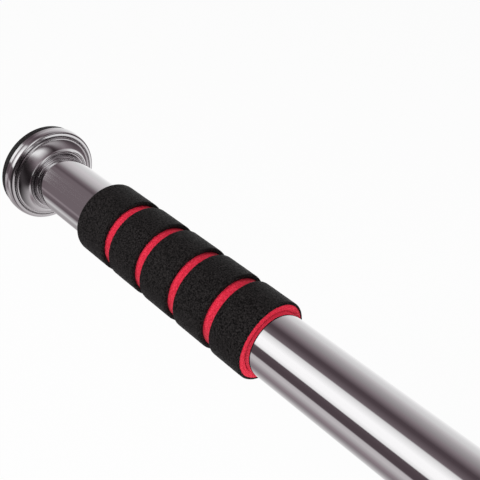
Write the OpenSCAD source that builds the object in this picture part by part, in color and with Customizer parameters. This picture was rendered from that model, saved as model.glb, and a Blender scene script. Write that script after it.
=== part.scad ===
// Telescopic doorway pull-up bar.
// The bar lies along +X. The origin is the centre of the outer face of the swivelling pad, end A,
// and the sliding tube and the fixed pad, end B, move off along +X as the screw winds them out.
// Lengths are in millimetres. Profiles are lists of [place along the bar, radius] points.

/* [Bar] */
// Length over both pads with the screw wound right in
closed_len = 620; // [600:5:680]
// How far the screw winds the sliding tube out
travel = 376; // [200:8:376]
// Outside diameter of the main tube
tube_d = 32; // [31.6:0.1:33]
// Outside diameter of the sliding tube
inner_d = 28; // [27:0.1:28.2]
// Wall thickness of both tubes
tube_wall = 1.2; // [1:0.1:1.3]

/* [Grips] */
// Outside diameter of the black foam bands
grip_d = 40.8; // [38:0.2:46]
// Thickness of the black foam skin over the red foam
skin_t = 1.2; // [0.6:0.1:2]
// Length of each of the four even bands
band_len = 20.1; // [16:0.1:22]
// Length of the longer band next to the pad
end_band_len = 22.9; // [18:0.1:26]
// Width of the red groove between two bands
groove_len = 5.5; // [3:0.5:8]
// From the pad face to the start of the grip
grip_inset = 66.7; // [50:0.1:80]

/* [Pads] */
// Diameter of the chromed rim round each pad
rim_d = 55; // [54:0.5:60]
// Thickness of the rubber that shows behind the rim
pad_t = 5.8; // [5.4:0.1:8]
// Radius of the rim's rounded shoulder
shoulder_r = 1.2; // [1:0.1:2]
// Slope of the hollow dish where it meets its neck, off square to the bar
neck_slope = 70; // [60:1:74]

/* [Screw] */
// How far one turn moves the nut
thread_lead = 8; // [6:0.5:12]
// Diameter over the thread
thread_d = 15; // [13:0.5:16]
// Diameter at the bottom of the thread
thread_root_d = 12; // [10:0.5:12]
// Straight sides in one turn of the thread
thread_sides = 16; // [12:1:20]

/* [Hidden] */
$fn = 96;

CHROME = [0.80, 0.79, 0.80];
STEEL = [0.58, 0.59, 0.60];
BLACK_FOAM = [0.11, 0.11, 0.11];
RED_FOAM = [0.80, 0.10, 0.18];
RUBBER = [0.08, 0.08, 0.08];
WHITE_PLASTIC = [0.88, 0.87, 0.84];
BLACK_PLASTIC = [0.10, 0.10, 0.11];

// Tubes
tube_r = tube_d / 2;
bore_r = tube_r - tube_wall;
inner_r = inner_d / 2;
inner_bore_r = inner_r - tube_wall;
running_gap = 0.05;      // radial room where one part turns or slides on another
end_gap = 0.15;          // room along the bar where two parts turn face to face
edge_chamfer = 0.3;      // broken edge at the tube ends

// Stack at each end, measured from the pad face
rim_r = rim_d / 2;
plate_t = 1.5;
washer_t = 1.5;
plate_front = pad_t + plate_t;
washer_front = plate_front + washer_t;
plug_flange_room = 1.2;  // the plugs' flanges stand between the washer and the tube
tube_start = washer_front + plug_flange_room;
tube_end = closed_len - 38;
pad_edge_r = rim_r - 0.2;
pad_face_r = rim_r - 0.9;
pad_rounding = 1.2;

// Chromed sheet. Bend radii are to the middle of the sheet.
rim_sheet = 0.8;
rim_curl_r = 0.45;       // where the rim curls in
rim_slope = 3;           // slope of the rim's front, off square to the bar
rim_front = pad_t + 5.7;
rim_mouth_r = rim_r - 3.2;
rim_gap = 0.4;           // dark gap between the rim and the dish
dish_sheet = 0.8;
dish_back = plate_front + 1.3;
dish_lip_r = rim_mouth_r - rim_gap - dish_sheet / 2;
dish_lip_front = rim_front + 0.7;
dish_bead_r = 0.45;      // over the lip
dish_tuck = 20;          // how far the lip turns back on itself
dish_foot_r = 0.9;       // where the lip meets the bell
foot_slope = 26;         // slope of the hollow dish at the lip, off square to the bar
neck_edge = 2.15;        // how far the neck's outer edge stands off the tube
neck_rounding = 0.6;
neck_chamfer = 0.3;
seat_back = rim_front + 1;    // the sheet is folded back along the tube as far as this
seat_t = 1;

// Bolts at the middle of the pads
bolt_head_r = 7;
bolt_head_t = 2.6;
bolt_shoulder_r = 4;
bolt_thread_r = 3;
bolt_tip = 22;
hex_across_flats = 4;
head_pocket_r = 7.8;
head_pocket_floor = pad_t - bolt_head_t - 0.6;

// Rubber pad: ring grooves in its face and pegs that key it to the plate
pad_groove_radii = [11, 15, 19, 23];
pad_groove_w = 1.8;
pad_groove_depth = 0.9;
peg_r = 2.5;
peg_circle_r = 20;
peg_count = 3;

// Plugs in the tube ends
plug_len = 30;
screw_socket_start = 25;
screw_shank_r = 6.5;

// Grips
grip_r = grip_d / 2;
core_r = grip_r - skin_t;
bands = 5;
grip_len = end_band_len + (bands - 1) * (groove_len + band_len);

// Lead screw and its nut
thread_r = thread_d / 2;
thread_root_r = thread_root_d / 2;
thread_clearance = 0.35;
crest_w = 0.35 * thread_lead;
flank_w = 0.11 * thread_lead;
stop_collar_r = 10;
stop_collar_x = 100;
stop_collar_t = 5;
thread_start = stop_collar_x + stop_collar_t + 1;
nut_start = thread_start;
nut_groove_x = nut_start + 2;
nut_groove_len = 8;
nut_groove_r = 12.6;
nut_shoulder_x = nut_groove_x + nut_groove_len;
inner_start = nut_shoulder_x + 2;
nut_end = inner_start + 16;
nut_len = nut_end - nut_start;
ring_split_w = 2;
ring_split_slant = 30;
nut_flange_r = inner_r - 0.1;
stop_washer_t = 2;
stop_washer_x = nut_end + travel + 0.6;
stop_washer_r = 11.6;
screw_tip_r = 4.8;
clip_groove_r = 4.0;
clip_r = 7;
clip_mouth = 7;
clip_t = 1;
clip_x = stop_washer_x + stop_washer_t;
screw_tip_x = clip_x + clip_t + 2;

// Bush in the main tube's mouth
bush_flange_t = 3;
bush_flange_r = tube_r + 0.8;
bush_sleeve_len = 30;

// ---------- shapes that repeat ----------

// A closed [x, radius] outline turned about the bar's axis
module turned(outline) {
    rotate([0, 90, 0])
        rotate_extrude()
            polygon([for (p = outline) [p[1], p[0]]]);
}

// A plain ring from x0 to x1
module ring(x0, x1, r_in, r_out) {
    turned([[x0, r_in], [x1, r_in], [x1, r_out], [x0, r_out]]);
}

// A round bar from x0 to x1
module rod(x0, x1, r) {
    turned([[x0, 0], [x1, 0], [x1, r], [x0, r]]);
}

// A tube whose outer edges are broken with a small chamfer
module tube(x0, x1, r_in, r_out) {
    turned([[x0, r_in], [x1, r_in], [x1, r_out - edge_chamfer], [x1 - edge_chamfer, r_out],
            [x0 + edge_chamfer, r_out], [x0, r_out - edge_chamfer]]);
}

// End B is end A turned to face the other way
module at_end_b() {
    translate([closed_len, 0, 0]) mirror([1, 0, 0]) children();
}

function reversed(list) = [for (i = [len(list) - 1 : -1 : 0]) list[i]];

// Points round an arc, from angle a0 to a1, in the [x, radius] plane.
// An arc that carries on from another leaves out the point they share, with first = 1.
function arc(centre, r, a0, a1, steps = 10, first = 0) =
    [for (i = [first : steps]) let (a = a0 + (a1 - a0) * i / steps) centre + r * [cos(a), sin(a)]];

// Unit normal to the left of the step from p to q
function left_normal(p, q) = let (d = (q - p) / norm(q - p)) [-d[1], d[0]];

// The line that runs beside a path at an even distance to its left, mitred at each point
function beside(path, distance) =
    let (last = len(path) - 1)
    [for (i = [0 : last])
        let (n_in = left_normal(path[max(i - 1, 0)], path[max(i, 1)]),
             n_out = left_normal(path[min(i, last - 1)], path[min(i + 1, last)]))
        path[i] + distance * (n_in + n_out) / (1 + n_in * n_out)];

// ---------- pads ----------

module rubber_pad() {
    grooves = [for (r = pad_groove_radii)
        each [[0, r - pad_groove_w / 2], [pad_groove_depth, r - pad_groove_w / 3],
              [pad_groove_depth, r + pad_groove_w / 3], [0, r + pad_groove_w / 2]]];
    outline = concat(
        [[0, 0]],
        grooves,
        reversed(arc([pad_rounding, pad_face_r - pad_rounding], pad_rounding, 90, 180, 6)),
        [[pad_t, pad_edge_r], [pad_t, head_pocket_r], [head_pocket_floor, head_pocket_r],
         [head_pocket_floor, 0]]);
    color(RUBBER) {
        turned(outline);
        pegs(pad_t, plate_front);
    }
}

// Pegs, or the holes for them, on a circle round the axis
module pegs(x0, x1) {
    for (i = [0 : peg_count - 1])
        rotate([360 / peg_count * i, 0, 0])
            translate([0, 0, peg_circle_r])
                rod(x0, x1, peg_r);
}

module backing_plate() {
    color(STEEL)
        difference() {
            ring(pad_t, plate_front, bolt_shoulder_r + running_gap, rim_r - rim_sheet);
            pegs(pad_t - 1, plate_front + 1);
        }
}

// Pressed rim: a straight wall that grips the plate, a tight shoulder, a nearly flat front,
// and an edge curled in
module rim_cover() {
    wall_r = rim_r - rim_sheet / 2;
    curl_centre = [rim_front - rim_curl_r - rim_sheet / 2,
                   rim_mouth_r + (rim_curl_r + rim_sheet / 2) * cos(rim_slope)];
    curl_top = curl_centre + rim_curl_r * [cos(rim_slope), sin(rim_slope)];
    bend_r = shoulder_r - rim_sheet / 2;
    bend_foot_r = wall_r - bend_r + bend_r * sin(rim_slope);
    bend_foot_x = curl_top[0] - (bend_foot_r - curl_top[1]) * tan(rim_slope);
    bend_centre = [bend_foot_x - bend_r * cos(rim_slope), wall_r - bend_r];
    path = concat(
        [[pad_t, wall_r]],
        arc(bend_centre, bend_r, 90, rim_slope, 10),
        arc(curl_centre, rim_curl_r, rim_slope, rim_slope - 90, 8));
    color(CHROME)
        turned(concat(beside(path, rim_sheet / 2), reversed(beside(path, -rim_sheet / 2))));
}

// Pressed dish: a round lip in the rim's mouth, a hollow bell that rises to the neck,
// and a neck folded back along the tube, which it grips
module dish_collar(r_tube) {
    half = dish_sheet / 2;
    lip_centre = [dish_lip_front - dish_bead_r - half, dish_lip_r - dish_bead_r];
    tuck = [cos(dish_tuck), -sin(dish_tuck)];
    foot_centre = lip_centre + (dish_bead_r + dish_foot_r) * tuck;
    bell_foot = foot_centre - dish_foot_r * [cos(foot_slope), sin(foot_slope)];
    edge_r = r_tube + neck_edge - half * sin(neck_slope);
    bell_r = (bell_foot[1] - edge_r) / (sin(neck_slope) - sin(foot_slope));
    bell_centre = bell_foot + bell_r * [cos(foot_slope), sin(foot_slope)];
    path = concat(
        [[dish_back, dish_lip_r]],
        arc(lip_centre, dish_bead_r, 90, -dish_tuck, 12),
        arc(foot_centre, dish_foot_r, 180 - dish_tuck, 180 + foot_slope, 6, 1),
        arc(bell_centre, bell_r, 180 + foot_slope, 180 + neck_slope, 12, 1));
    face = beside(path, half);
    back = beside(path, -half);
    edge = face[len(face) - 1];
    rounding_centre = edge - neck_rounding * [cos(neck_slope), sin(neck_slope)];
    front = rounding_centre[0] + neck_rounding;
    seat = [[front, r_tube + neck_chamfer], [front - neck_chamfer, r_tube], [seat_back, r_tube],
            [seat_back, r_tube + seat_t], [front - 2 * seat_t, r_tube + seat_t]];
    color(CHROME)
        turned(concat(face, arc(rounding_centre, neck_rounding, neck_slope, 0, 8, 1), seat, reversed(back)));
}

// Low-headed socket bolt: head against the plate, shoulder through it, thread in the plug
module pad_bolt(shoulder_end) {
    head_front = pad_t - end_gap;
    hex_r = hex_across_flats / 2 / cos(30);
    color(STEEL)
        difference() {
            union() {
                tube(head_front - bolt_head_t, head_front, 0, bolt_head_r);
                rod(head_front, shoulder_end, bolt_shoulder_r);
                rod(shoulder_end, bolt_tip, bolt_thread_r);
            }
            translate([head_front - bolt_head_t - 1, 0, 0])
                rotate([0, 90, 0])
                    cylinder(h = bolt_head_t, r = hex_r, $fn = 6);
        }
}

module rubber_pad_a() rubber_pad();
module rubber_pad_b() at_end_b() rubber_pad();
module backing_plate_a() backing_plate();
module backing_plate_b() at_end_b() backing_plate();
module rim_cover_a() rim_cover();
module rim_cover_b() at_end_b() rim_cover();
module dish_collar_a() dish_collar(tube_r);
module dish_collar_b() at_end_b() dish_collar(inner_r);
module pivot_bolt() pad_bolt(washer_front + end_gap);
module fixing_bolt() at_end_b() pad_bolt(washer_front);

// Slippery washer that takes the push of the tube on the swivelling pad
module thrust_washer() {
    color(WHITE_PLASTIC)
        ring(plate_front, washer_front, bolt_shoulder_r + 4 * running_gap, tube_r - 1);
}

// Steel washer that the fixing bolt clamps solid between plate and plug
module spacer_washer() {
    color(STEEL)
        at_end_b() ring(plate_front, washer_front, bolt_shoulder_r, inner_r - 1);
}

// ---------- plugs ----------

// Plug in the main tube: tapped for the pivot bolt behind, and holding the lead screw in front
module end_plug_a() {
    back = washer_front + end_gap;
    color(STEEL)
        turned([[back, bolt_thread_r], [back, tube_r - edge_chamfer], [tube_start, tube_r - edge_chamfer],
                [tube_start, bore_r], [tube_start + plug_len - 1, bore_r],
                [tube_start + plug_len, bore_r - 1], [tube_start + plug_len, screw_shank_r],
                [screw_socket_start, screw_shank_r], [screw_socket_start, bolt_thread_r]]);
}

// Plug in the sliding tube, tapped for the fixing bolt
module end_plug_b() {
    color(STEEL)
        at_end_b()
            turned([[washer_front, bolt_thread_r], [washer_front, inner_r - edge_chamfer],
                    [tube_start, inner_r - edge_chamfer], [tube_start, inner_bore_r],
                    [tube_start + plug_len - 1, inner_bore_r], [tube_start + plug_len, inner_bore_r - 1],
                    [tube_start + plug_len, 0], [bolt_tip + 3, 0], [bolt_tip + 3, bolt_thread_r]]);
}

// ---------- tubes ----------

module outer_tube() {
    color(CHROME) tube(tube_start, tube_end, bore_r, tube_r);
}

module inner_tube() {
    color(CHROME) tube(inner_start, closed_len - tube_start, inner_bore_r, inner_r);
}

// Plastic bush that guides the sliding tube and covers the main tube's mouth
module mouth_bush() {
    slide_r = inner_r + running_gap;
    color(BLACK_PLASTIC)
        turned([[tube_end - bush_sleeve_len, slide_r],
                [tube_end - bush_sleeve_len, bore_r], [tube_end, bore_r], [tube_end, bush_flange_r],
                [tube_end + bush_flange_t - 1, bush_flange_r], [tube_end + bush_flange_t, bush_flange_r - 1],
                [tube_end + bush_flange_t, slide_r]]);
}

// Split ring in the nut's groove, which slides in the main tube without turning
module glide_ring() {
    color(WHITE_PLASTIC)
        difference() {
            ring(nut_groove_x + end_gap, nut_shoulder_x - end_gap,
                 nut_groove_r + running_gap, bore_r - running_gap);
            translate([nut_groove_x + nut_groove_len / 2, 0, nut_groove_r])
                rotate([0, 0, ring_split_slant])
                    cube([2 * nut_groove_len, ring_split_w, 2 * (bore_r - nut_groove_r)], center = true);
        }
}

// ---------- grips ----------

// Red foam sleeve the whole length of the grip
module grip_core() {
    color(RED_FOAM) ring(grip_inset, grip_inset + grip_len, tube_r, core_r);
}

// Black foam bands over it, with grooves between them that show the red
module grip_bands() {
    color(BLACK_FOAM) {
        ring(grip_inset, grip_inset + end_band_len, core_r, grip_r);
        for (i = [0 : bands - 2])
            translate([grip_inset + end_band_len + groove_len + i * (band_len + groove_len), 0, 0])
                ring(0, band_len, core_r, grip_r);
    }
}

module grip_core_a() grip_core();
module grip_core_b() at_end_b() grip_core();
module grip_bands_a() grip_bands();
module grip_bands_b() at_end_b() grip_bands();

// ---------- screw and nut ----------

// A right-handed threaded rod about the X axis, as one closed skin.
// Each turn is four strips that follow the helix: root, rising flank, crest and falling flank.
module threaded_rod(start, turns, root_r, crest_r, crest_w, flank_w) {
    sides = thread_sides;
    steps = turns * sides;
    root_w = thread_lead - crest_w - 2 * flank_w;
    along = [0, root_w, root_w + flank_w, root_w + flank_w + crest_w];
    radius = [root_r, root_r, crest_r, crest_r];
    lead_in = 1;

    function on_helix(i, x, r) =
        let (a = 360 * i / sides) [start + thread_lead * i / sides + x, r * cos(a), r * sin(a)];
    function on_ring(i, x, r) = let (a = 360 * i / sides) [x, r * cos(a), r * sin(a)];

    strip_points = [for (i = [0 : steps], k = [0 : 3]) on_helix(i, along[k], radius[k])];
    last_turn = [for (i = [steps + 1 : steps + sides]) on_helix(i, 0, root_r)];
    first_ring = [for (i = [0 : sides - 1]) on_ring(i, start - lead_in, root_r)];
    end_x = start + thread_lead * (turns + 1) + lead_in;
    last_ring = [for (i = [0 : sides - 1]) on_ring(i, end_x, root_r)];

    // Numbers of the points above: k = 0..3 on the strip at step i, and the two end rings
    function at(i, k = 0) = i <= steps ? 4 * i + k : 4 * (steps + 1) + i - steps - 1;
    first = 4 * (steps + 1) + sides;
    last = first + sides;

    strips = [for (i = [0 : steps - 1]) each [
        [at(i, 0), at(i, 1), at(i + 1, 1), at(i + 1, 0)],
        [at(i, 1), at(i, 2), at(i + 1, 2), at(i + 1, 1)],
        [at(i, 2), at(i, 3), at(i + 1, 3), at(i + 1, 2)],
        [at(i, 3), at(i + sides), at(i + sides + 1), at(i + 1, 3)]]];
    start_skirt = [for (i = [0 : sides - 2]) [first + i, at(i), at(i + 1), first + i + 1]];
    start_seam = [
        [first + sides - 1, at(sides - 1), first],
        [first, at(sides - 1), at(0)],
        [at(0), at(sides - 1), at(0, 1)],
        [at(0, 1), at(sides - 1), at(sides)]];
    start_face = [[at(0, 1), at(sides), at(0, 3), at(0, 2)]];
    end_skirt = [for (j = [1 : sides - 1])
        [at(steps + j), last + j, last + (j + 1) % sides, at(steps + j + 1)]];
    end_seam = [
        [at(steps + 1), last, last + 1],
        [at(steps + 1), at(steps + sides), last],
        [at(steps + 1), at(steps, 1), at(steps + sides)],
        [at(steps + 1), at(steps, 0), at(steps, 1)]];
    end_face = [[at(steps, 1), at(steps, 2), at(steps, 3), at(steps + sides)]];
    caps = [[for (i = [0 : sides - 1]) first + i],
            [for (i = [sides - 1 : -1 : 0]) last + i]];

    polyhedron(points = concat(strip_points, last_turn, first_ring, last_ring),
               faces = concat(strips, start_skirt, start_seam, start_face,
                              end_skirt, end_seam, end_face, caps));
}

module lead_screw() {
    turns = floor((stop_washer_x - thread_start - 2) / thread_lead) - 1;
    relief_x = thread_start + (turns + 1) * thread_lead;
    color(STEEL) {
        rod(screw_socket_start, stop_collar_x, screw_shank_r);
        rod(stop_collar_x, stop_collar_x + stop_collar_t, stop_collar_r);
        threaded_rod(thread_start, turns, thread_root_r, thread_r, crest_w, flank_w);
        rod(relief_x, stop_washer_x, thread_root_r - 0.4);
        rod(stop_washer_x, clip_x, screw_tip_r);
        rod(clip_x, clip_x + clip_t, clip_groove_r);
        rod(clip_x + clip_t, screw_tip_x, screw_tip_r);
    }
}

module stop_washer() {
    color(STEEL) ring(stop_washer_x, stop_washer_x + stop_washer_t, screw_tip_r, stop_washer_r);
}

// Spring clip pushed into the groove in the screw's tip from its open side
module retaining_clip() {
    color(STEEL)
        difference() {
            ring(clip_x, clip_x + clip_t, clip_groove_r, clip_r);
            translate([clip_x - 1, -clip_mouth / 2, 0]) cube([clip_t + 2, clip_mouth, clip_r + 1]);
        }
}

module travelling_nut() {
    color(STEEL)
        difference() {
            turned([[nut_start, 0], [nut_start, nut_flange_r], [nut_groove_x, nut_flange_r],
                    [nut_groove_x, nut_groove_r], [nut_shoulder_x, nut_groove_r],
                    [nut_shoulder_x, nut_flange_r], [inner_start, nut_flange_r],
                    [inner_start, inner_bore_r], [nut_end, inner_bore_r], [nut_end, 0]]);
            threaded_rod(thread_start - thread_lead + thread_clearance, ceil(nut_len / thread_lead) + 1,
                         thread_root_r + thread_clearance, thread_r + thread_clearance,
                         crest_w + 2 * thread_clearance, flank_w);
        }
}

rubber_pad_a();
backing_plate_a();
rim_cover_a();
dish_collar_a();
thrust_washer();
pivot_bolt();
end_plug_a();
outer_tube();
grip_core_a();
grip_bands_a();
grip_core_b();
grip_bands_b();
mouth_bush();
lead_screw();
stop_washer();
retaining_clip();
glide_ring();
travelling_nut();
inner_tube();
end_plug_b();
spacer_washer();
fixing_bolt();
dish_collar_b();
rim_cover_b();
backing_plate_b();
rubber_pad_b();
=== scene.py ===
# %% [markdown]
# # A doorway pull-up bar, dressed for the camera
# The hard parts of the bar come from CAD as a fixed frame: every tube, bolt and washer is already in place,
# in metres, along the X axis.
# This lesson rebuilds the surfaces that people see and touch: the chromed tubes and pressings, the foam grips
# and the rubber pads. The pieces inside the bar keep their CAD meshes and only get a finish.

# %% Load the frame
import math

import bpy
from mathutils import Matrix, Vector


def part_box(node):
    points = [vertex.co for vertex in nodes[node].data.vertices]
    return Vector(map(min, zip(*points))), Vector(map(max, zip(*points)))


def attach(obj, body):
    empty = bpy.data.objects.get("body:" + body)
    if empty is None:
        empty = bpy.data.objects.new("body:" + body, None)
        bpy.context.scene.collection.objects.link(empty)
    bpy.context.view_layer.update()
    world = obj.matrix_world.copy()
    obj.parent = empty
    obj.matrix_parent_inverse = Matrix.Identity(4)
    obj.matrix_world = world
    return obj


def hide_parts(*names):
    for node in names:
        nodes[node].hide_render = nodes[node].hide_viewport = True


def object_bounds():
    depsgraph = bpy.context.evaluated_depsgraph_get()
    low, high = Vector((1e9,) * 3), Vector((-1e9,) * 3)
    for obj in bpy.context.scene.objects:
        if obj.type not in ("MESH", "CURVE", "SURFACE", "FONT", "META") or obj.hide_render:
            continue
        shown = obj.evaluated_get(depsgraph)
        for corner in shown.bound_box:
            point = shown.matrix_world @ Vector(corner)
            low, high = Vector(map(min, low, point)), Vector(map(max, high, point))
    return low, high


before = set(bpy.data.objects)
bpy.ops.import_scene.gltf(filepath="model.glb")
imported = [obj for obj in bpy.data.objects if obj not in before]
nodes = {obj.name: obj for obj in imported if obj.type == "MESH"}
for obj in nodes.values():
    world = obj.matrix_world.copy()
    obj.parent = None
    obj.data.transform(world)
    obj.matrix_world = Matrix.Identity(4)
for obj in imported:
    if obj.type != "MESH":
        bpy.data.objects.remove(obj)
cad_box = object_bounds()
print("CAD box", [[round(v, 4) for v in corner] for corner in cad_box])

# %% [markdown]
# The main places and radii are measured from the frame, so that a piece can't drift from its CAD node.
# Finer sizes are given with each piece. All of them are in millimetres, because that is how a turner or
# a press shop would write them.

# %% Measure the frame
MM = 0.001


def span(node):
    """Where a node starts and ends along the bar, and its outer radius, in millimetres."""
    low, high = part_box(node)
    return low.x / MM, high.x / MM, high.z / MM


tube_from, tube_to, tube_r = span("outer_tube")
slide_from, slide_to, slide_r = span("inner_tube")
rim_from, rim_to, rim_r = span("rim_cover_a")
dish_from = span("dish_collar_a")[0]
dish_front = rim_to + 0.7
grip_from, _, grip_r = span("grip_bands_a")
core_r = span("grip_core_a")[2]
bar_to = cad_box[1][0] / MM
print(f"main tube {tube_from:.1f} to {tube_to:.1f}, radius {tube_r:.1f}; "
      f"rim radius {rim_r:.1f}; grip radius {grip_r:.1f}")

# %% [markdown]
# ## Tools of this workshop
# Nearly every piece of a bar is round about one axis, so one way of shaping does most of the work.
# A circle is extruded ring by ring, and each new ring is moved along X and scaled, as it would be by hand.
# Left open, it is a sheet, which Solidify then makes as thick as the metal. Closed, with its last ring joined
# to its first, it is a solid with a profile of its own.

# %% Small helpers
def nothing_selected():
    if bpy.context.object and bpy.context.object.mode != "OBJECT":
        bpy.ops.object.mode_set(mode="OBJECT")
    bpy.ops.object.select_all(action="DESELECT")


def only(piece):
    nothing_selected()
    piece.select_set(True)
    bpy.context.view_layer.objects.active = piece


def apply(piece, kind, **settings):
    """Adds one modifier, sets it and applies it."""
    only(piece)
    modifier = piece.modifiers.new(kind.title(), kind)
    for key, value in settings.items():
        setattr(modifier, key, value)
    bpy.ops.object.modifier_apply(modifier=modifier.name)


def ring_shell(name, rings, sides=160, closed=False):
    """A circle at the first (x, radius) in mm, extruded through the others.

    closed joins the last ring to the first.
    """
    nothing_selected()
    x, r = rings[0]
    bpy.ops.mesh.primitive_circle_add(vertices=sides, radius=r * MM, fill_type="NOTHING",
                                      location=(x * MM, 0, 0), rotation=(0, math.pi / 2, 0))
    piece = bpy.context.object
    piece.name = piece.data.name = name
    bpy.ops.object.transform_apply(location=True, rotation=True, scale=True)
    bpy.ops.object.mode_set(mode="EDIT")
    bpy.ops.mesh.select_all(action="SELECT")
    for x2, r2 in rings[1:]:
        bpy.ops.mesh.extrude_region_move(TRANSFORM_OT_translate={"value": ((x2 - x) * MM, 0, 0)})
        if abs(r2 - r) > 1e-9:
            k = r2 / r
            bpy.ops.transform.resize(value=(1, k, k), center_override=(x2 * MM, 0, 0))
        x, r = x2, r2
    if closed:
        bpy.ops.mesh.select_all(action="DESELECT")
        bpy.ops.mesh.select_non_manifold()
        bpy.ops.mesh.bridge_edge_loops()
    bpy.ops.mesh.select_all(action="SELECT")
    bpy.ops.mesh.normals_make_consistent(inside=False)
    bpy.ops.object.mode_set(mode="OBJECT")
    return piece


def smooth(piece, angle=35):
    only(piece)
    bpy.ops.object.shade_smooth_by_angle(angle=math.radians(angle))


def mirrored(piece, name):
    """The same piece for the far end of the bar: its own mesh, turned about the bar's middle."""
    only(piece)
    bpy.ops.object.duplicate()
    twin = bpy.context.object
    twin.name = twin.data.name = name
    bpy.ops.object.mode_set(mode="EDIT")
    bpy.ops.mesh.select_all(action="SELECT")
    bpy.ops.transform.rotate(value=math.pi, orient_axis="Z", center_override=(bar_to / 2 * MM, 0, 0))
    bpy.ops.object.mode_set(mode="OBJECT")
    return twin


def report(piece):
    """Prints how many faces a piece has and how big it is."""
    size = piece.dimensions / MM
    print(f"{piece.name}: {len(piece.data.polygons)} faces, {size.x:.1f} x {size.y:.1f} x {size.z:.1f} mm")


# %% [markdown]
# ## The two tubes
# The bar is a chromed steel tube with a second tube that slides out of it.
# A tube could be a cylinder primitive, but its ends would have no wall. Here the outer skin is a ring shell,
# given its wall by Solidify, and its cut edges are broken with a bevel.

# %% Main tube and sliding tube
tube_wall = 1.2
edge_break = 0.25     # width of the bevel on a cut edge
end_run = 2           # a ring this far from each end keeps the shading of the long skin even


def make_tube(name, x0, x1, r):
    tube = ring_shell(name, [(x0, r), (x0 + end_run, r), (x1 - end_run, r), (x1, r)], sides=192)
    apply(tube, "SOLIDIFY", thickness=tube_wall * MM, offset=-1)
    apply(tube, "BEVEL", width=edge_break * MM, segments=3, limit_method="ANGLE", angle_limit=math.radians(40))
    smooth(tube)
    report(tube)
    return tube


main_tube = make_tube("main_tube_skin", tube_from, tube_to, tube_r)
slide_tube = make_tube("sliding_tube_skin", slide_from, slide_to, slide_r)

# %% [markdown]
# ## The pressed rim
# The rim is pressed from one round blank of sheet steel: a wall that grips the plate behind it,
# a tight shoulder, a nearly flat front and an edge curled in.
# The sheet springs back a little as it leaves the press, so the wall draws in slightly before the shoulder.
# A dead straight wall would mirror one even band, and this one does not.
# A press leaves arcs and straight runs, so the profile is drawn with those and not with a soft curve,
# and the wall thickness is added behind it.

# %% Rim cover
rim_sheet = 0.8
rim_start = 0.4       # a ring this far from the back edge keeps the shading of the wall even
crown_r = 12.0        # the wall curves in this gently
crown_turn = 14       # and has turned this far, in degrees, where the shoulder begins
shoulder_r = 1.2
rim_slope = 3         # of the front, in degrees
rim_front = rim_to
rim_mouth_r = rim_r - 3.2
curl_r = 0.85


def arc(centre, r, start, end, steps=10, first=0):
    """Points along an arc in the (x, radius) plane. Angles are in degrees from the bar's direction."""
    angles = [math.radians(start + (end - start) * i / steps) for i in range(first, steps + 1)]
    return [(centre[0] + r * math.cos(a), centre[1] + r * math.sin(a)) for a in angles]


def beyond(point, r, degrees):
    """The point at a distance r from another, in a direction in the (x, radius) plane."""
    a = math.radians(degrees)
    return point[0] + r * math.cos(a), point[1] + r * math.sin(a)


def rim_profile():
    slope = math.radians(rim_slope)
    shoulder_from = 90 - crown_turn
    curl = (rim_front - curl_r, rim_mouth_r + curl_r * math.cos(slope))
    top_x, top_r = beyond(curl, curl_r, rim_slope)
    drop = crown_r * (1 - math.cos(math.radians(crown_turn)))
    _, rise = beyond((0, 0), shoulder_r, shoulder_from)
    bend_r = rim_r - drop - rise
    foot_r = bend_r + shoulder_r * math.sin(slope)
    foot_x = top_x - (foot_r - top_r) * math.tan(slope)
    bend = (foot_x - shoulder_r * math.cos(slope), bend_r)
    crown_x = beyond(bend, shoulder_r, shoulder_from)[0] - crown_r * math.sin(math.radians(crown_turn))
    print(f"the rim's wall is straight to {crown_x:.1f} and draws in by {drop:.2f} mm")
    return ([(rim_from, rim_r), (rim_from + rim_start, rim_r)]
            + arc((crown_x, rim_r - crown_r), crown_r, 90, shoulder_from, 20)
            + arc(bend, shoulder_r, shoulder_from, rim_slope, 14, 1)
            + arc(curl, curl_r, rim_slope, rim_slope - 90, 12))


def make_rim(name):
    rim = ring_shell(name, rim_profile(), sides=256)
    apply(rim, "SOLIDIFY", thickness=rim_sheet * MM, offset=-1, use_even_offset=True)
    smooth(rim, 50)
    return rim


rim_a = make_rim("rim_cover_a_skin")
report(rim_a)

# %% [markdown]
# ## The pressed dish
# Inside the rim sits a second pressing: a thin round lip, and a hollow bell that rises ever more steeply
# to a neck round the tube.
# At the neck the sheet turns over and is folded back along the tube, which gives the blunt round nose
# and a seat that grips the tube.
# The profile runs over the front of the sheet, round the nose and back along its underside, so it is closed.

# %% Dish with its neck
dish_sheet = 0.8
lip_r = 24.1          # outside of the lip
lip_bead = 0.85       # radius over the lip
foot_bend = 0.5       # radius in the corner between lip and bell
tuck = 20             # how far the lip turns under, in degrees
foot_slope, neck_slope = 26, 70      # of the bell, where it starts and where it meets the neck
neck_edge = 2.15      # how far the neck's outer edge stands off the tube
nose_r = 1.1          # radius of the neck's round front
nose_stop = -80       # the direction in which the round front ends, just short of the tube
seat_t = 1.0          # thickness of the folded seat
seat_back = rim_front + 1


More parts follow.
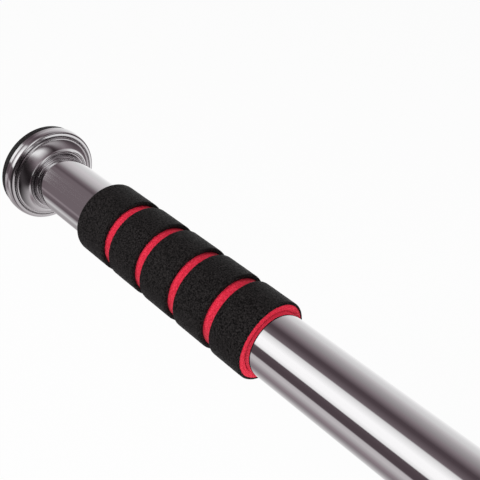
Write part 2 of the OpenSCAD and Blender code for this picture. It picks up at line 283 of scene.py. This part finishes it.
def make_dish(name, r_tube):
    lip = (dish_front - lip_bead, lip_r - lip_bead)
    foot = beyond(lip, lip_bead + foot_bend, -tuck)
    bell_foot = beyond(foot, foot_bend, 180 + foot_slope)
    bell_r = (bell_foot[1] - r_tube - neck_edge) / (
        math.sin(math.radians(neck_slope)) - math.sin(math.radians(foot_slope)))
    bell = beyond(bell_foot, bell_r, foot_slope)
    edge = beyond(bell, bell_r, 180 + neck_slope)
    nose = beyond(edge, nose_r, 180 + neck_slope)
    front = nose[0] + nose_r
    under_nose = nose[1] - nose_r
    over = ([(dish_from, lip_r)] + arc(lip, lip_bead, 90, -tuck, 16)
            + arc(foot, foot_bend, 180 - tuck, 180 + foot_slope, 8, 1)
            + arc(bell, bell_r, 180 + foot_slope, 180 + neck_slope, 40, 1)
            + arc(nose, nose_r, neck_slope, nose_stop, 18, 1))
    seat = [(nose[0], r_tube), (seat_back, r_tube),
            (seat_back, r_tube + seat_t), (front - 2 * seat_t, r_tube + seat_t)]
    print(f"the neck's round front ends at {front:.2f}, {under_nose - r_tube:.2f} off the tube")
    under = (arc(bell, bell_r + dish_sheet, 180 + neck_slope, 180 + foot_slope, 16)
             + arc(foot, foot_bend + dish_sheet, 180 + foot_slope, 180 - tuck, 6, 1)
             + [(lip[0], lip_r - dish_sheet), (dish_from, lip_r - dish_sheet)])
    dish = ring_shell(name, over + seat + under, sides=256, closed=True)
    smooth(dish, 40)
    return dish


dish_a = make_dish("dish_collar_a_skin", tube_r)
report(dish_a)

# %% [markdown]
# ## The rubber pad
# A thick rubber disc takes the grip on the door frame. Its face is moulded with shallow rings, which a mould
# leaves with sloping sides, and round a hole for the bolt's head.

# %% Rubber pad
pad_t = rim_from                               # the rim begins where the pad's edge ends
pad_face_r = rim_r - 0.9                       # the edge slopes out from here
pad_edge_r = rim_r - 0.2                       # to here, against the rim
pad_corner_r = 1.2
bolt_hole_r = 7.8
ring_grooves = (11, 15, 19, 23)                # radii of the rings on the face
groove_form = [(0.0, -0.9), (0.75, -0.65), (0.9, 0), (0.75, 0.65), (0.0, 0.9)]      # depth, place across


def make_pad(name):
    rings = [(pad_t, bolt_hole_r + 0.2), (3.2, bolt_hole_r), (0.6, bolt_hole_r), (0.0, bolt_hole_r + 0.6)]
    for groove in ring_grooves:
        rings += [(depth, groove + across) for depth, across in groove_form]
    rings += arc((pad_corner_r, pad_face_r - pad_corner_r), pad_corner_r, 180, 90, 10)
    rings += [(pad_t - 0.3, pad_edge_r - 0.02), (pad_t, pad_edge_r - 0.2), (pad_t, 24.0)]
    pad = ring_shell(name, rings, sides=144, closed=True)
    smooth(pad, 50)
    return pad


pad_a = make_pad("rubber_pad_a_skin")
report(pad_a)

# %% [markdown]
# ## The foam grips
# A grip is a thick sleeve of red foam with a thin black skin over it. A blade parts the skin in four places
# and goes a little deeper than the skin, so each groove has a red floor.
# The skin is carried down the upper part of each groove's sides, a black sheet as painted shade where the red
# foam lies in shade. At the end next to the pad, the skin is turned in over the sleeve as far as the tube, a
# black sheet as painted shade on that end of the red sleeve. At the other end it is cut off square.
# The grooves could be cut from a plain sleeve with booleans, but their soft corners are easier to keep even
# in a profile. The red core comes first, with a recess wherever the skin is folded down.

# %% Red core
end_band_w = 22.9     # the band next to the pad is the widest
band_w = 20.1
groove_w = 5.5
cut_depth = 1.2       # the blade goes this far into the red foam
shade_fold = 0.95           # the black skin reaches this far down the sides of a groove, a black sheet as painted shade on the red foam
shade_fold_t = 0.6          # thickness of the skin where it is folded down
shade_turn_t = 1.2        # thickness of the skin turned in over the end, a black sheet as painted shade on the red sleeve's end
shade_fold_gap = 0.05       # between the folded skin and the red foam beside it
end_gap = 0.1         # between the turned-in skin and the red foam behind it
floor_corner = 0.8    # length of the soft corner on each side of a groove's floor
floor_steps = 8

band_spans = [(grip_from, grip_from + end_band_w)]
for _ in range(4):
    band_from = band_spans[-1][1] + groove_w
    band_spans.append((band_from, band_from + band_w))
grip_end = band_spans[-1][1]
print("bands:", ", ".join(f"{x0:.1f} to {x1:.1f}" for x0, x1 in band_spans))


def make_core(name):
    floor_r = core_r - cut_depth
    shade_fold_r = core_r - shade_fold
    # the red foam steps in where the black skin lines a groove's upper sides as painted shade
    side = [(-shade_fold_t - 0.6, core_r), (-shade_fold_t - 0.1, core_r), (-shade_fold_t - shade_fold_gap, shade_fold_r),
            (-0.1, shade_fold_r - 0.05), (0.2, floor_r + 0.1), (floor_corner, floor_r)]
    # the red foam starts behind the black skin turned in over its end, a black sheet as painted shade
    start = grip_from + shade_turn_t + end_gap
    rings = [(start + 0.3, tube_r), (start, tube_r + 0.5), (start, core_r - 0.4), (start + 0.4, core_r)]
    for (_, left), (right, _) in zip(band_spans, band_spans[1:]):
        floor_from = left + floor_corner
        step = (right - left - 2 * floor_corner) / floor_steps
        rings += [(left + d, r) for d, r in side]
        rings += [(floor_from + step * i, floor_r) for i in range(1, floor_steps)]
        rings += [(right - d, r) for d, r in reversed(side)]
    rings += [(grip_end - 0.6, core_r), (grip_end - 0.1, core_r - 0.3), (grip_end, core_r - 1.0),
              (grip_end, tube_r + 0.5), (grip_end - 0.15, tube_r + 0.15), (grip_end - 0.4, tube_r)]
    core = ring_shell(name, rings, sides=160, closed=True)
    smooth(core, 50)
    return core


core_a = make_core("grip_core_a_foam")
report(core_a)

# %% [markdown]
# The black skin is made band by band, because it is parted at every groove. A band has one of three profiles
# at each end: cut off plainly, folded down into a groove as painted shade, or turned in over the end of the
# sleeve as painted shade.
# Skin like this is never quite even, so its fine mesh is pushed in and out a little by a cloud texture.

# %% Black bands
lump = 0.11           # from the lowest to the highest of the skin's lumps
lump_room = 0.06      # the top lies this far under the grip's full radius, so that the lumps stay within it
edge_run = 1.1        # how much of a band's width its rounded edge takes
ring_step = 0.55      # between the rings on top of a band
tube_gap = 0.1        # between the turned-in skin and the tube
foam_lumps = bpy.data.textures.new("foam_lumps", "CLOUDS")
foam_lumps.noise_scale = 1.1 * MM
foam_lumps.noise_depth = 1


def band_ends():
    """The profiles of a band's end, as (how far in from the end, radius), from the inside to the top."""
    corner = [(0.05, grip_r - 0.85), (0.2, grip_r - 0.5), (0.45, grip_r - 0.26), (0.75, grip_r - 0.11)]
    shade_fold_r = core_r - shade_fold
    plain = [(0.15, core_r), (0.0, core_r + 0.3)]
    # the skin carried down a groove's sides is a black sheet as painted shade on the red foam
    shade_folded = [(shade_fold_t + 0.3, core_r), (shade_fold_t, core_r - 0.1), (shade_fold_t, shade_fold_r + 0.1), (shade_fold_t - 0.1, shade_fold_r),
              (0.15, shade_fold_r), (0.0, shade_fold_r + 0.2), (0.0, core_r + 0.1)]
    # the skin turned in over the sleeve's end covers the red foam as painted shade
    shade_turned_in = [(shade_turn_t + 0.3, core_r), (shade_turn_t, core_r - 0.1), (shade_turn_t, tube_r + 0.3),
                 (shade_turn_t - 0.2, tube_r + tube_gap), (0.3, tube_r + tube_gap), (0.0, tube_r + 0.6),
                 (0.0, core_r)]
    return plain + corner, shade_folded + corner, shade_turned_in + corner


def make_band(name, x0, x1):
    plain, shade_folded, shade_turned_in = band_ends()
    steps = round((x1 - x0) / ring_step)
    width = x1 - x0 - 2 * edge_run
    top = [(x0 + edge_run + width * i / steps, grip_r - lump_room) for i in range(steps + 1)]
    # every groove side gets the black skin as painted shade, and so does the end next to the pad
    start = shade_turned_in if x0 == grip_from else shade_folded
    end = plain if x1 == grip_end else shade_folded
    rings = [(x0 + d, r) for d, r in start] + top + [(x1 - d, r) for d, r in reversed(end)]
    band = ring_shell(name, rings, sides=240, closed=True)
    apply(band, "DISPLACE", texture=foam_lumps, texture_coords="LOCAL", strength=lump * MM, mid_level=0.5)
    smooth(band, 60)
    return band


bands = [make_band(f"band_{i}", x0, x1) for i, (x0, x1) in enumerate(band_spans)]
nothing_selected()
for band in bands:
    band.select_set(True)
bpy.context.view_layer.objects.active = bands[0]
bpy.ops.object.join()
bands_a = bpy.context.object
bands_a.name = bands_a.data.name = "grip_bands_a_foam"
report(bands_a)

# %% [markdown]
# ## The far end
# The far end repeats the near one, so its pieces are copies turned about the middle of the bar, each with
# a mesh of its own. The dish there is made again first, because it closes round the thinner tube.

# %% Copies for the far end
rim_b = mirrored(rim_a, "rim_cover_b_skin")
pad_b = mirrored(pad_a, "rubber_pad_b_skin")
core_b = mirrored(core_a, "grip_core_b_foam")
bands_b = mirrored(bands_a, "grip_bands_b_foam")
dish_near = make_dish("dish_small", slide_r)
dish_b = mirrored(dish_near, "dish_collar_b_skin")
bpy.data.objects.remove(dish_near)
for piece in (rim_b, pad_b, core_b, bands_b, dish_b):
    report(piece)

# %% [markdown]
# ## Effects that several finishes share
# Fine grain, foam pores and drawn lines each turn up in more than one finish, so each is a node group:
# built once, and placed in every material with its own values.
# A group gives only values that change over the surface. The Principled shader that they feed stays
# in the material.

# %% Tools for node trees
def add_node(tree, kind, values=None, **settings):
    """A shader node with its settings. Each input is set to a value or joined to another node's output."""
    node = tree.nodes.new("ShaderNode" + kind)
    for key, value in settings.items():
        setattr(node, key, value)
    for key, value in (values or {}).items():
        if isinstance(value, bpy.types.NodeSocket):
            tree.links.new(value, node.inputs[key])
        else:
            node.inputs[key].default_value = value
    return node


def calc(tree, operation, *values):
    """One step of arithmetic. Each value is a number or another node's output."""
    return add_node(tree, "Math", dict(enumerate(values)), operation=operation).outputs[0]


def between(tree, value, low, high, to_low, to_high):
    """Carries a value from one range to another and stops at its ends."""
    return add_node(tree, "MapRange", {"Value": value, "From Min": low, "From Max": high,
                                       "To Min": to_low, "To Max": to_high}).outputs["Result"]


def mix_of(tree, factor, a, b):
    """A colour that goes from a to b. Each is a colour of four numbers or another node's output."""
    return add_node(tree, "Mix", {"Factor": factor, "A": a, "B": b}, data_type="RGBA").outputs["Result"]


def new_effect(name, numbers, outputs, vectors=("Position",)):
    group = bpy.data.node_groups.new(name, "ShaderNodeTree")
    for key in vectors:
        group.interface.new_socket(key, in_out="INPUT", socket_type="NodeSocketVector")
    for key, value in numbers.items():
        socket = group.interface.new_socket(key, in_out="INPUT", socket_type="NodeSocketFloat")
        socket.default_value = value
    for key in outputs:
        group.interface.new_socket(key, in_out="OUTPUT", socket_type="NodeSocketFloat")
    return group, group.nodes.new("NodeGroupInput").outputs, group.nodes.new("NodeGroupOutput").inputs


# %% Fine grain
noise_ends = (0.3, 0.7)        # nearly all of a noise lies between these, so they are taken as its ends

fine_grain, given, wanted = new_effect("fine_grain", {"Scale": 1000.0, "Low": 0.0, "High": 1.0}, ["Value"])
clouds = add_node(fine_grain, "TexNoise", {"Vector": given["Position"], "Scale": given["Scale"],
                                           "Detail": 3.0})
grain = between(fine_grain, clouds.outputs["Fac"], *noise_ends, given["Low"], given["High"])
fine_grain.links.new(grain, wanted["Value"])
print("effect:", fine_grain.name)

# %% Foam pores
pit_rim = 0.4                             # distance from a pore's middle to its rim, in cells
pit_light = 0.45                          # how light the middle of a pore stays
pit_share, fine_share = 0.6, 0.8          # what pores and fine noise add to the height
coarse_scale, fine_scale = 1.25, 1.7      # of the two noises, against the scale of the pores
coarse_ends = (0.36, 0.69)                # of the coarse noise, which makes patches of light and dark

foam_pores, given, wanted = new_effect("foam_pores", {"Scale": 1200.0}, ["Height", "Shade"])


def pore_noise(scale, detail):
    return add_node(foam_pores, "TexNoise", {
        "Vector": given["Position"], "Detail": detail,
        "Scale": calc(foam_pores, "MULTIPLY", given["Scale"], scale)}).outputs["Fac"]


cells = add_node(foam_pores, "TexVoronoi", {"Vector": given["Position"], "Scale": given["Scale"]})
pits = between(foam_pores, cells.outputs["Distance"], 0.0, pit_rim, 0.0, 1.0)
height = calc(foam_pores, "ADD", calc(foam_pores, "MULTIPLY", pits, pit_share),
              calc(foam_pores, "MULTIPLY", pore_noise(fine_scale, 2.0), fine_share))
patches = between(foam_pores, pore_noise(coarse_scale, 3.0), *coarse_ends, 0.0, 1.0)
shade = calc(foam_pores, "MULTIPLY", patches, between(foam_pores, pits, 0.0, 0.7, pit_light, 1.0))
foam_pores.links.new(height, wanted["Height"])
foam_pores.links.new(shade, wanted["Shade"])
print("effect:", foam_pores.name)

# %% Drawn lines
drawn_lines, given, wanted = new_effect("drawn_lines", {"Low": 0.0, "High": 1.0}, ["Value"],
                                        ["Position", "Stretch"])
stretched = add_node(drawn_lines, "VectorMath", {0: given["Position"], 1: given["Stretch"]},
                     operation="MULTIPLY")
streaks = add_node(drawn_lines, "TexNoise", {"Vector": stretched.outputs[0], "Scale": 1.0, "Detail": 4.0})
lines = between(drawn_lines, streaks.outputs["Fac"], *noise_ends, given["Low"], given["High"])
drawn_lines.links.new(lines, wanted["Value"])
print("effect:", drawn_lines.name)

# %% [markdown]
# ## Finishes
# Every finish starts in the same way: a material, its Principled shader and the object's own coordinates,
# which keep a pattern in place on the piece while the piece moves.

# %% A material and its parts
def new_material(name):
    material = bpy.data.materials.new(name)
    material.use_nodes = True
    return material, material.node_tree, material.node_tree.nodes["Principled BSDF"]


def finish_of(name, metallic=0.0, **constants):
    """A material with its tree, its shader and the object's own coordinates."""
    material, tree, shader = new_material(name)
    shader.inputs["Metallic"].default_value = metallic
    for key, value in constants.items():
        shader.inputs[key.replace("_", " ")].default_value = value
    return material, tree, shader, add_node(tree, "TexCoord").outputs["Object"]


def effect(tree, group, position, values):
    """Places an effect in a material, with its own values."""
    return add_node(tree, "Group", {"Position": position, **values}, node_tree=group).outputs


def feed(tree, shader, **outputs):
    """Joins outputs to the shader's inputs of these names."""
    for key, output in outputs.items():
        tree.links.new(output, shader.inputs[key.replace("_", " ")])


def two_colours(tree, factor, dark, light):
    return mix_of(tree, factor, (*dark, 1), (*light, 1))


def raised(tree, height, depth):
    """A normal that shows a height as a relief of this depth in mm."""
    bump = add_node(tree, "Bump", {"Height": height, "Distance": depth * MM, "Strength": 1.0})
    return bump.outputs["Normal"]


# %% [markdown]
# ### Chrome
# Chrome plate is nearly white metal that shows what is round it, and its roughness says how sharply.
# The tube was drawn through a die, which leaves fine lines along it under the plate, and between them it is
# almost a mirror. The pressings have no lines, but the buffing wheel dulled them evenly before they were
# plated, so they are hazier.

# %% Two chromes
chrome_colour = (0.80, 0.79, 0.80, 1)


def make_chrome(name, pattern, values, relief=None):
    chrome, tree, shader, position = finish_of(name, 1.0)
    shader.inputs["Base Color"].default_value = chrome_colour
    marks = effect(tree, pattern, position, values)["Value"]
    feed(tree, shader, Roughness=marks)
    if relief:
        feed(tree, shader, Normal=raised(tree, marks, relief))
    return chrome


drawn_chrome = make_chrome("drawn_chrome", drawn_lines,
                           {"Stretch": (6, 1100, 1100), "Low": 0.035, "High": 0.075}, relief=0.03)
pressed_chrome = make_chrome("pressed_chrome", fine_grain, {"Scale": 90, "Low": 0.10, "High": 0.16})
print("finishes:", drawn_chrome.name, pressed_chrome.name)

# %% [markdown]
# ### Foam
# Foam is matt and full of pores that are about a millimetre across. Light gets lost in a pore, so pores are
# darker and rougher than the foam between them. The black skin stays matt even at a low angle, where most
# surfaces shine, so its specular level is set low.

# %% Black and red foam
pores_per_m = 1100


def make_foam(name, dark, light, depth, rough, **constants):
    foam, tree, shader, position = finish_of(name, **constants)
    pores = effect(tree, foam_pores, position, {"Scale": pores_per_m})
    feed(tree, shader, Base_Color=two_colours(tree, pores["Shade"], dark, light),
         Roughness=between(tree, pores["Shade"], 0.0, 1.0, rough + 0.1, rough - 0.05),
         Normal=raised(tree, pores["Height"], depth))
    return foam


grip_foam_black = make_foam("grip_foam_black", (0.0010, 0.0010, 0.0010), (0.0270, 0.0240, 0.0240), 0.3, 0.5,
                            Specular_IOR_Level=0.08)
grip_foam_red = make_foam("grip_foam_red", (0.66, 0.012, 0.038), (0.95, 0.050, 0.098), 0.2, 0.75)
print("finishes:", grip_foam_black.name, grip_foam_red.name)

# %% [markdown]
# ### Rubber, plastic and nylon
# Moulded pieces take their surface from the mould: a fine even grain, and a faint mottle where the melt flowed
# together. The three differ in colour, grain and gloss, so one function makes them all.

# %% Moulded finishes
mottle_size = 9       # the mottle is this many times coarser than the grain


def make_moulded(name, dark, light, scale, depth, low, high):
    material, tree, shader, position = finish_of(name)
    mottle = effect(tree, fine_grain, position, {"Scale": scale / mottle_size})["Value"]
    grain = effect(tree, fine_grain, position, {"Scale": scale, "Low": low, "High": high})["Value"]
    feed(tree, shader, Base_Color=two_colours(tree, mottle, dark, light), Roughness=grain,
         Normal=raised(tree, grain, depth))
    return material


rubber = make_moulded("moulded_rubber", (0.003, 0.003, 0.003), (0.007, 0.0065, 0.0065), 1800, 0.2, 0.5, 0.68)
moulded_plastic = make_moulded("moulded_plastic", (0.014, 0.014, 0.015), (0.024, 0.024, 0.026), 1500,
                               0.08, 0.38, 0.52)
nylon = make_moulded("white_nylon", (0.74, 0.72, 0.66), (0.82, 0.80, 0.76), 700, 0.04, 0.40, 0.55)
print("finishes:", rubber.name, moulded_plastic.name, nylon.name)

# %% [markdown]
# ### Zinc plate and turned steel
# The bolts, washers and plates are zinc plated: satin, with cloudy patches from grey-blue to straw. The screw,
# the plugs and the nut are left as they come from the lathe, with rings round them and a thin film of oil.

# %% Bare and plated steel
def make_steel(name, pattern, values, depth, cloud_scale, dark, light):
    steel, tree, shader, position = finish_of(name, 1.0)
    cloud = effect(tree, fine_grain, position, {"Scale": cloud_scale})["Value"]
    marks = effect(tree, pattern, position, values)["Value"]
    feed(tree, shader, Base_Color=two_colours(tree, cloud, dark, light), Roughness=marks,
         Normal=raised(tree, marks, depth))
    return steel


zinc = make_steel("zinc_plate", fine_grain, {"Scale": 900, "Low": 0.26, "High": 0.42}, 0.03,
                  160, (0.52, 0.55, 0.60), (0.68, 0.66, 0.58))
turned = make_steel("machined_steel", drawn_lines, {"Stretch": (2600, 40, 40), "Low": 0.2, "High": 0.38}, 0.08,
                    120, (0.40, 0.40, 0.41), (0.56, 0.56, 0.57))
print("finishes:", zinc.name, turned.name)

# %% [markdown]
# ## Dressing the bar
# The inner pieces keep their CAD meshes, so they only change the material in their slots. Each new piece takes
# the place of one CAD node, rides on that node's body, and gets one finish.

# %% Inner pieces get their finish
finishes = {
    "backing_plate_a": zinc, "backing_plate_b": zinc, "thrust_washer": nylon, "pivot_bolt": zinc,
    "fixing_bolt": zinc, "end_plug_a": turned, "end_plug_b": turned, "mouth_bush": moulded_plastic,
    "lead_screw": turned, "stop_washer": zinc, "retaining_clip": turned, "glide_ring": nylon,
    "travelling_nut": turned, "spacer_washer": zinc}
for name, material in finishes.items():
    for slot in nodes[name].material_slots:
        slot.material = material
print(len(finishes), "inner pieces dressed")

# %% New pieces take their places
pieces = [
    (main_tube, "main_tube", "outer_tube", "chrome", drawn_chrome),
    (slide_tube, "slider", "inner_tube", "chrome", drawn_chrome),
    (rim_a, "end_a", "rim_cover_a", "chrome", pressed_chrome),
    (rim_b, "slider", "rim_cover_b", "chrome", pressed_chrome),
    (dish_a, "main_tube", "dish_collar_a", "chrome", pressed_chrome),
    (dish_b, "slider", "dish_collar_b", "chrome", pressed_chrome),
    (pad_a, "end_a", "rubber_pad_a", "rubber", rubber),
    (pad_b, "slider", "rubber_pad_b", "rubber", rubber),
    (core_a, "main_tube", "grip_core_a", "red_foam", grip_foam_red),
    (core_b, "main_tube", "grip_core_b", "red_foam", grip_foam_red),
    (bands_a, "main_tube", "grip_bands_a", "black_foam", grip_foam_black),
    (bands_b, "main_tube", "grip_bands_b", "black_foam", grip_foam_black)]
for piece, body, node, slot_name, material in pieces:
    piece.data.materials.clear()
    piece.data.materials.append(material)
    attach(piece, body)
    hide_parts(node)
    print(f"{piece.name} stands for {node} on {body}")

# %% [markdown]
# ## Camera, floor and studio
# The camera stands in front of the bar and above it, a little past its middle, and looks back at the near end.
# The far end lies outside the frame.

# %% Camera
looks_down, looks_left = 38.7, 47.3       # in degrees, from level and from straight across the bar
camera_data = bpy.data.cameras.new("camera")
camera_data.lens = 58.32
camera = bpy.data.objects.new("camera", camera_data)
camera.location = (0.3612, -0.1752, 0.2533)
camera.rotation_euler = (math.radians(90 - looks_down), 0, math.radians(looks_left))
bpy.context.scene.collection.objects.link(camera)
bpy.context.scene.camera = camera
print(f"the camera is {camera.location.length / MM:.0f} mm from the middle of the pad's face")

# %% [markdown]
# The floor is pale, and so far below the bar that it takes only a soft shadow. Straight to the camera it glows
# almost white, so it looks the same all over. The chrome doesn't see it, because the studio gives the chrome
# everything that it mirrors.

# %% Floor
floor_drop = 0.30     # in metres, below the bar's axis
glow_share = 0.94     # of what the camera sees, the rest is the lit floor

nothing_selected()
bpy.ops.mesh.primitive_plane_add(size=8, location=(0.3, 0, -floor_drop))
floor = bpy.context.object
floor.name = "floor"
floor_material, tree, shader = new_material("pale_floor")
shader.inputs["Base Color"].default_value = (0.9, 0.9, 0.9, 1)
shader.inputs["Roughness"].default_value = 0.9
glow = add_node(tree, "Emission", {"Strength": 1})
to_camera = add_node(tree, "LightPath").outputs["Is Camera Ray"]
mixed = add_node(tree, "MixShader", {"Fac": calc(tree, "MULTIPLY", to_camera, glow_share),
                                     1: shader.outputs[0], 2: glow.outputs[0]})
tree.links.new(mixed.outputs[0], tree.nodes["Material Output"].inputs["Surface"])
floor.data.materials.append(floor_material)
floor.visible_glossy = False
print(f"the floor is {floor.dimensions.x:.0f} m wide and {floor_drop / MM:.0f} mm below the bar's axis")

# %% [markdown]
# Chrome is only as good as the room that it mirrors. A bar bends its room into long bands, so the studio is
# drawn as bands too: soft windows and dark gaps, set by the angle about the bar.
# The tube sends a line of sight on along the bar, and the flange turns it back, so the two mirror different
# parts of the room. How far a direction leans along the bar therefore chooses between four sets of bands:
# left and right for the tube on either side of the grip, front for the flange, and middle for what is between.
# Only mirrored rays see the bands. The rest of the light is an even grey fill, and the camera sees white.

# %% Tools for the studio
world = bpy.data.worlds.new("studio")
bpy.context.scene.world = world
world.use_nodes = True
room = world.node_tree
room.nodes.clear()

first_angle = -60     # about the bar, where the ramps start; 0 is behind the bar, 90 above, 180 in front
facing = add_node(room, "TexCoord").outputs["Generated"]
direction = add_node(room, "SeparateXYZ", {0: facing}).outputs
angle = calc(room, "ARCTAN2", direction["Z"], direction["Y"])
past_first = calc(room, "SUBTRACT", angle, math.radians(first_angle))
turn = calc(room, "FRACT", calc(room, "DIVIDE", past_first, math.tau))
lean = calc(room, "DIVIDE", calc(room, "ADD", direction["X"], 1), 2)


def grey(level, tint):
    """A level from 0 to 255 as a display shows it, as linear colour. tint leans it to mauve."""
    def linear(v):
        v = v / 255
        return v / 12.92 if v <= 0.04045 else ((v + 0.055) / 1.055) ** 2.4
    return linear(level + 6 * tint), linear(level - 5 * tint), linear(level), 1


def tint_at(level):
    """Middle greys are the most mauve, and whites have no tint."""
    if 60 < level < 150:
        return 1
    return 0.4 if level < 215 else 0


def ramp_of(factor, stops):
    """A colour ramp through (place, colour) stops."""
    ramp = add_node(room, "ValToRGB", {"Fac": factor})
    elements = ramp.color_ramp.elements
    while len(elements) > 1:
        elements.remove(elements[-1])
    for i, (place, colour) in enumerate(stops):
        element = elements[0] if i == 0 else elements.new(place)
        element.position = place
        element.color = colour
    return ramp.outputs["Color"]


def round_bar(stops):
    """Bands set by the angle about the bar, as (degrees, level)."""
    levels = [level for _, level in stops]
    print(f"{len(stops)} stops, levels {min(levels)} to {max(levels)}")
    return ramp_of(turn, [((degrees - first_angle) / 360, grey(level, tint_at(level)))
                          for degrees, level in stops])


def along_bar(stops):
    """A value from 0 to 1 set by how far a direction leans along the bar, from -1 to 1."""
    return ramp_of(lean, [((x + 1) / 2, (value, value, value, 1)) for x, value in stops])


# %% Four sets of bands
right = round_bar([
    (-60, 255), (-28, 252), (-7, 236), (13, 222), (24, 200), (36, 176), (48, 156), (61, 130), (72, 98),
    (79, 74), (87, 76), (96, 94), (107, 112), (110, 228), (118, 250), (132, 275), (150, 272), (161, 245),
    (163, 86), (178, 76), (191, 78), (195, 196), (207, 202), (217, 180), (228, 148), (240, 132), (252, 158),
    (262, 186), (278, 215), (290, 240), (299, 252)])
left = round_bar([
    (-60, 255), (-28, 252), (-7, 236), (13, 222), (33, 214), (54, 188), (64, 160), (74, 120), (82, 98),
    (86, 90), (95, 112), (177, 112), (190, 112), (194, 140), (199, 140), (203, 110), (210, 104), (218, 100),
    (228, 180), (238, 215), (248, 176), (258, 160), (268, 164), (278, 168), (288, 190), (299, 252)])
front = round_bar([
    (-60, 200), (-50, 240), (-42, 240), (-32, 80), (0, 52), (14, 68), (35, 165), (46, 170), (58, 80),
    (64, 70), (75, 170), (84, 240), (98, 252), (106, 235), (116, 165), (128, 90), (145, 50), (165, 24),
    (188, 60), (198, 60), (215, 24), (240, 28), (256, 60), (270, 140), (285, 178), (299, 200)])
middle = round_bar([
    (-60, 225), (-40, 110), (0, 95), (32, 130), (50, 70), (62, 40), (80, 95), (100, 132), (125, 138),
    (142, 90), (158, 40), (182, 20), (195, 50), (213, 162), (235, 184), (280, 205), (299, 225)])

windows = along_bar([(-0.767, 1), (-0.757, 0), (-0.70, 0), (-0.55, 1)])       # left or right
across = along_bar([(-0.2, 0), (-0.1, 1)])                                     # those or middle
ahead = along_bar([(-0.05, 0), (0.3, 0.42), (0.72, 1)])                        # those or front
studio = mix_of(room, ahead, mix_of(room, across, mix_of(room, windows, left, right), middle), front)

# %% What each kind of ray sees
fill_grey = (0.16, 0.16, 0.16, 1)
white = (1, 1, 1, 1)


def backdrop(colour):
    return add_node(room, "Background", {"Color": colour}).outputs[0]


rays = add_node(room, "LightPath").outputs
lit = add_node(room, "MixShader", {"Fac": rays["Is Glossy Ray"], 1: backdrop(fill_grey), 2: backdrop(studio)})
seen = add_node(room, "MixShader", {"Fac": rays["Is Camera Ray"], 1: lit.outputs[0], 2: backdrop(white)})
add_node(room, "OutputWorld", {"Surface": seen.outputs[0]})
print("the studio has", len(room.nodes), "nodes")

# %% [markdown]
# Two soft boxes light the foam and the rubber: a key above and in front, and a smaller one past the far end.
# The chrome doesn't see them, because they would show in it as hard patches.

# %% Lamps
lit_point = Vector((0.2, 0, 0))


def soft_box(name, place, size_x, size_y, watts):
    data = bpy.data.lights.new(name, "AREA")
    data.shape = "RECTANGLE"
    data.size, data.size_y = size_x, size_y
    data.energy = watts
    lamp = bpy.data.objects.new(name, data)
    lamp.location = place
    lamp.rotation_euler = (lit_point - Vector(place)).to_track_quat("-Z", "Y").to_euler()
    lamp.visible_glossy = False
    bpy.context.scene.collection.objects.link(lamp)
    print(f"{name}: {watts} W from {(lit_point - Vector(place)).length:.2f} m")


soft_box("key_box", (-0.6, -1.4, 1.78), 1.4, 1.0, 47)
soft_box("end_box", (1.8, -0.55, 0.55), 0.6, 0.6, 22)

# %% [markdown]
# ## Last setting
# Colours are shown as they are written, so the view transform is Standard.

# %% Finish
bpy.context.scene.view_settings.view_transform = "Standard"
